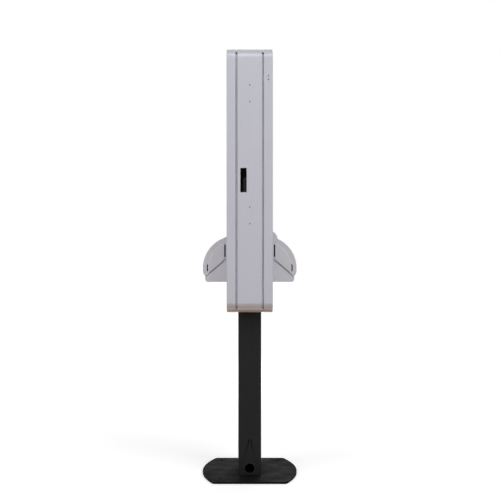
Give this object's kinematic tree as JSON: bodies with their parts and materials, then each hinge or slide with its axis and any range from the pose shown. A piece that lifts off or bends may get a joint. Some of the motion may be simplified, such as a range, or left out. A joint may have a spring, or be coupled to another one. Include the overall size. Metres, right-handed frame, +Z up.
{
  "type": "self-ordering kiosk",
  "caption": "Floor-standing double-sided ordering kiosk with a screen door and a tilting payment console on each side, on a square post and a floor plate.",
  "frame": {"origin": "on the floor, at the middle of the base plate's underside", "axes": "+Z up, -Y out of the front screen, +Y out of the rear screen, +X to the right of a person who faces the front"},
  "size_m": [0.4832, 0.4088, 1.8],
  "materials": {
    "body_paint": "satin",
    "base_paint": "gloss",
    "post_paint": "satin",
    "grommet_rubber": "matte",
    "zinc": "satin",
    "screw_steel": "satin",
    "equipment_black": "satin",
    "screen_glass": "gloss",
    "display_metal": "satin",
    "latch_plastic": "matte",
    "console_plastic": "satin",
    "terminal_plastic": "satin",
    "printer_plastic": "satin",
    "receipt_paper": "matte",
    "key_grey": "matte",
    "key_red": "matte",
    "key_green": "matte"
  },
  "bodies": {
    "stand": {"base_plate": "base_paint", "post": "post_paint", "post_foot": "post_paint", "post_head": "post_paint", "cable_grommet": "grommet_rubber", "fasteners": "screw_steel", "chassis_frame": "body_paint", "hinge_brackets": "zinc", "equipment_plate": "zinc", "computer": "equipment_black", "power_supply": "zinc"},
    "front_door": {"front_door": "body_paint", "front_glass": "screen_glass", "front_display": "display_metal", "front_console_tray": "console_plastic", "front_printer": "printer_plastic"},
    "front_latch": {"front_latch_bar": "latch_plastic"},
    "front_hood": {"front_console_hood": "console_plastic", "front_side_panels": "console_plastic", "front_terminal": "terminal_plastic", "front_terminal_screen": "screen_glass", "front_receipt_bezel": "printer_plastic"},
    "front_roll": {"front_paper_roll": "receipt_paper"},
    "front_key_1_cap": {"front_key_1": "key_grey"},
    "front_key_2_cap": {"front_key_2": "key_grey"},
    "front_key_3_cap": {"front_key_3": "key_grey"},
    "front_key_4_cap": {"front_key_4": "key_grey"},
    "front_key_5_cap": {"front_key_5": "key_grey"},
    "front_key_6_cap": {"front_key_6": "key_grey"},
    "front_key_7_cap": {"front_key_7": "key_grey"},
    "front_key_8_cap": {"front_key_8": "key_grey"},
    "front_key_9_cap": {"front_key_9": "key_grey"},
    "front_key_cancel_cap": {"front_key_cancel": "key_red"},
    "front_key_0_cap": {"front_key_0": "key_grey"},
    "front_key_enter_cap": {"front_key_enter": "key_green"},
    "rear_door": {"rear_door": "body_paint", "rear_glass": "screen_glass", "rear_display": "display_metal", "rear_console_tray": "console_plastic", "rear_printer": "printer_plastic"},
    "rear_latch": {"rear_latch_bar": "latch_plastic"},
    "rear_hood": {"rear_console_hood": "console_plastic", "rear_side_panels": "console_plastic", "rear_terminal": "terminal_plastic", "rear_terminal_screen": "screen_glass", "rear_receipt_bezel": "printer_plastic", "rear_receipt_mouth": "console_plastic"},
    "rear_roll": {"rear_paper_roll": "receipt_paper"},
    "rear_key_1_cap": {"rear_key_1": "key_grey"},
    "rear_key_2_cap": {"rear_key_2": "key_grey"},
    "rear_key_3_cap": {"rear_key_3": "key_grey"},
    "rear_key_4_cap": {"rear_key_4": "key_grey"},
    "rear_key_5_cap": {"rear_key_5": "key_grey"},
    "rear_key_6_cap": {"rear_key_6": "key_grey"},
    "rear_key_7_cap": {"rear_key_7": "key_grey"},
    "rear_key_8_cap": {"rear_key_8": "key_grey"},
    "rear_key_9_cap": {"rear_key_9": "key_grey"},
    "rear_key_cancel_cap": {"rear_key_cancel": "key_red"},
    "rear_key_0_cap": {"rear_key_0": "key_grey"},
    "rear_key_enter_cap": {"rear_key_enter": "key_green"}
  },
  "joints": [
    {"name": "front_door_swing", "type": "hinge", "parent": "stand", "child": "front_door", "pos_m": [-0.232, -0.06, 1.262], "axis": [0, 0, -1], "range_deg": [0, 95]},
    {"name": "front_latch_slide", "type": "slide", "parent": "stand", "child": "front_latch", "axis": [0, 0, 1], "range_m": [0, 0.036]},
    {"name": "front_hood_tilt", "type": "hinge", "parent": "front_door", "child": "front_hood", "pos_m": [0, -0.1872, 0.8543], "axis": [1, 0, 0], "range_deg": [0, 40]},
    {"name": "front_roll_spin", "type": "hinge", "parent": "front_door", "child": "front_roll", "pos_m": [-0.053, -0.1282, 0.879], "axis": [1, 0, 0], "continuous": true},
    {"name": "front_key_1_press", "type": "slide", "parent": "front_hood", "child": "front_key_1_cap", "axis": [0, 0.829, -0.5592], "range_m": [0, 0.0012], "stiffness_N_per_m": 400},
    {"name": "front_key_2_press", "type": "slide", "parent": "front_hood", "child": "front_key_2_cap", "axis": [0, 0.829, -0.5592], "range_m": [0, 0.0012], "stiffness_N_per_m": 400},
    {"name": "front_key_3_press", "type": "slide", "parent": "front_hood", "child": "front_key_3_cap", "axis": [0, 0.829, -0.5592], "range_m": [0, 0.0012], "stiffness_N_per_m": 400},
    {"name": "front_key_4_press", "type": "slide", "parent": "front_hood", "child": "front_key_4_cap", "axis": [0, 0.829, -0.5592], "range_m": [0, 0.0012], "stiffness_N_per_m": 400},
    {"name": "front_key_5_press", "type": "slide", "parent": "front_hood", "child": "front_key_5_cap", "axis": [0, 0.829, -0.5592], "range_m": [0, 0.0012], "stiffness_N_per_m": 400},
    {"name": "front_key_6_press", "type": "slide", "parent": "front_hood", "child": "front_key_6_cap", "axis": [0, 0.829, -0.5592], "range_m": [0, 0.0012], "stiffness_N_per_m": 400},
    {"name": "front_key_7_press", "type": "slide", "parent": "front_hood", "child": "front_key_7_cap", "axis": [0, 0.829, -0.5592], "range_m": [0, 0.0012], "stiffness_N_per_m": 400},
    {"name": "front_key_8_press", "type": "slide", "parent": "front_hood", "child": "front_key_8_cap", "axis": [0, 0.829, -0.5592], "range_m": [0, 0.0012], "stiffness_N_per_m": 400},
    {"name": "front_key_9_press", "type": "slide", "parent": "front_hood", "child": "front_key_9_cap", "axis": [0, 0.829, -0.5592], "range_m": [0, 0.0012], "stiffness_N_per_m": 400},
    {"name": "front_key_cancel_press", "type": "slide", "parent": "front_hood", "child": "front_key_cancel_cap", "axis": [0, 0.829, -0.5592], "range_m": [0, 0.0012], "stiffness_N_per_m": 400},
    {"name": "front_key_0_press", "type": "slide", "parent": "front_hood", "child": "front_key_0_cap", "axis": [0, 0.829, -0.5592], "range_m": [0, 0.0012], "stiffness_N_per_m": 400},
    {"name": "front_key_enter_press", "type": "slide", "parent": "front_hood", "child": "front_key_enter_cap", "axis": [0, 0.829, -0.5592], "range_m": [0, 0.0012], "stiffness_N_per_m": 400},
    {"name": "rear_door_swing", "type": "hinge", "parent": "stand", "child": "rear_door", "pos_m": [0.232, 0.06, 1.262], "axis": [0, 0, -1], "range_deg": [0, 95]},
    {"name": "rear_latch_slide", "type": "slide", "parent": "stand", "child": "rear_latch", "axis": [0, 0, 1], "range_m": [0, 0.036]},
    {"name": "rear_hood_tilt", "type": "hinge", "parent": "rear_door", "child": "rear_hood", "pos_m": [0, 0.1872, 0.8543], "axis": [-1, 0, 0], "range_deg": [0, 40]},
    {"name": "rear_roll_spin", "type": "hinge", "parent": "rear_door", "child": "rear_roll", "pos_m": [0.053, 0.1282, 0.879], "axis": [-1, 0, 0], "continuous": true},
    {"name": "rear_key_1_press", "type": "slide", "parent": "rear_hood", "child": "rear_key_1_cap", "axis": [0, -0.829, -0.5592], "range_m": [0, 0.0012], "stiffness_N_per_m": 400},
    {"name": "rear_key_2_press", "type": "slide", "parent": "rear_hood", "child": "rear_key_2_cap", "axis": [0, -0.829, -0.5592], "range_m": [0, 0.0012], "stiffness_N_per_m": 400},
    {"name": "rear_key_3_press", "type": "slide", "parent": "rear_hood", "child": "rear_key_3_cap", "axis": [0, -0.829, -0.5592], "range_m": [0, 0.0012], "stiffness_N_per_m": 400},
    {"name": "rear_key_4_press", "type": "slide", "parent": "rear_hood", "child": "rear_key_4_cap", "axis": [0, -0.829, -0.5592], "range_m": [0, 0.0012], "stiffness_N_per_m": 400},
    {"name": "rear_key_5_press", "type": "slide", "parent": "rear_hood", "child": "rear_key_5_cap", "axis": [0, -0.829, -0.5592], "range_m": [0, 0.0012], "stiffness_N_per_m": 400},
    {"name": "rear_key_6_press", "type": "slide", "parent": "rear_hood", "child": "rear_key_6_cap", "axis": [0, -0.829, -0.5592], "range_m": [0, 0.0012], "stiffness_N_per_m": 400},
    {"name": "rear_key_7_press", "type": "slide", "parent": "rear_hood", "child": "rear_key_7_cap", "axis": [0, -0.829, -0.5592], "range_m": [0, 0.0012], "stiffness_N_per_m": 400},
    {"name": "rear_key_8_press", "type": "slide", "parent": "rear_hood", "child": "rear_key_8_cap", "axis": [0, -0.829, -0.5592], "range_m": [0, 0.0012], "stiffness_N_per_m": 400},
    {"name": "rear_key_9_press", "type": "slide", "parent": "rear_hood", "child": "rear_key_9_cap", "axis": [0, -0.829, -0.5592], "range_m": [0, 0.0012], "stiffness_N_per_m": 400},
    {"name": "rear_key_cancel_press", "type": "slide", "parent": "rear_hood", "child": "rear_key_cancel_cap", "axis": [0, -0.829, -0.5592], "range_m": [0, 0.0012], "stiffness_N_per_m": 400},
    {"name": "rear_key_0_press", "type": "slide", "parent": "rear_hood", "child": "rear_key_0_cap", "axis": [0, -0.829, -0.5592], "range_m": [0, 0.0012], "stiffness_N_per_m": 400},
    {"name": "rear_key_enter_press", "type": "slide", "parent": "rear_hood", "child": "rear_key_enter_cap", "axis": [0, -0.829, -0.5592], "range_m": [0, 0.0012], "stiffness_N_per_m": 400}
  ]
}
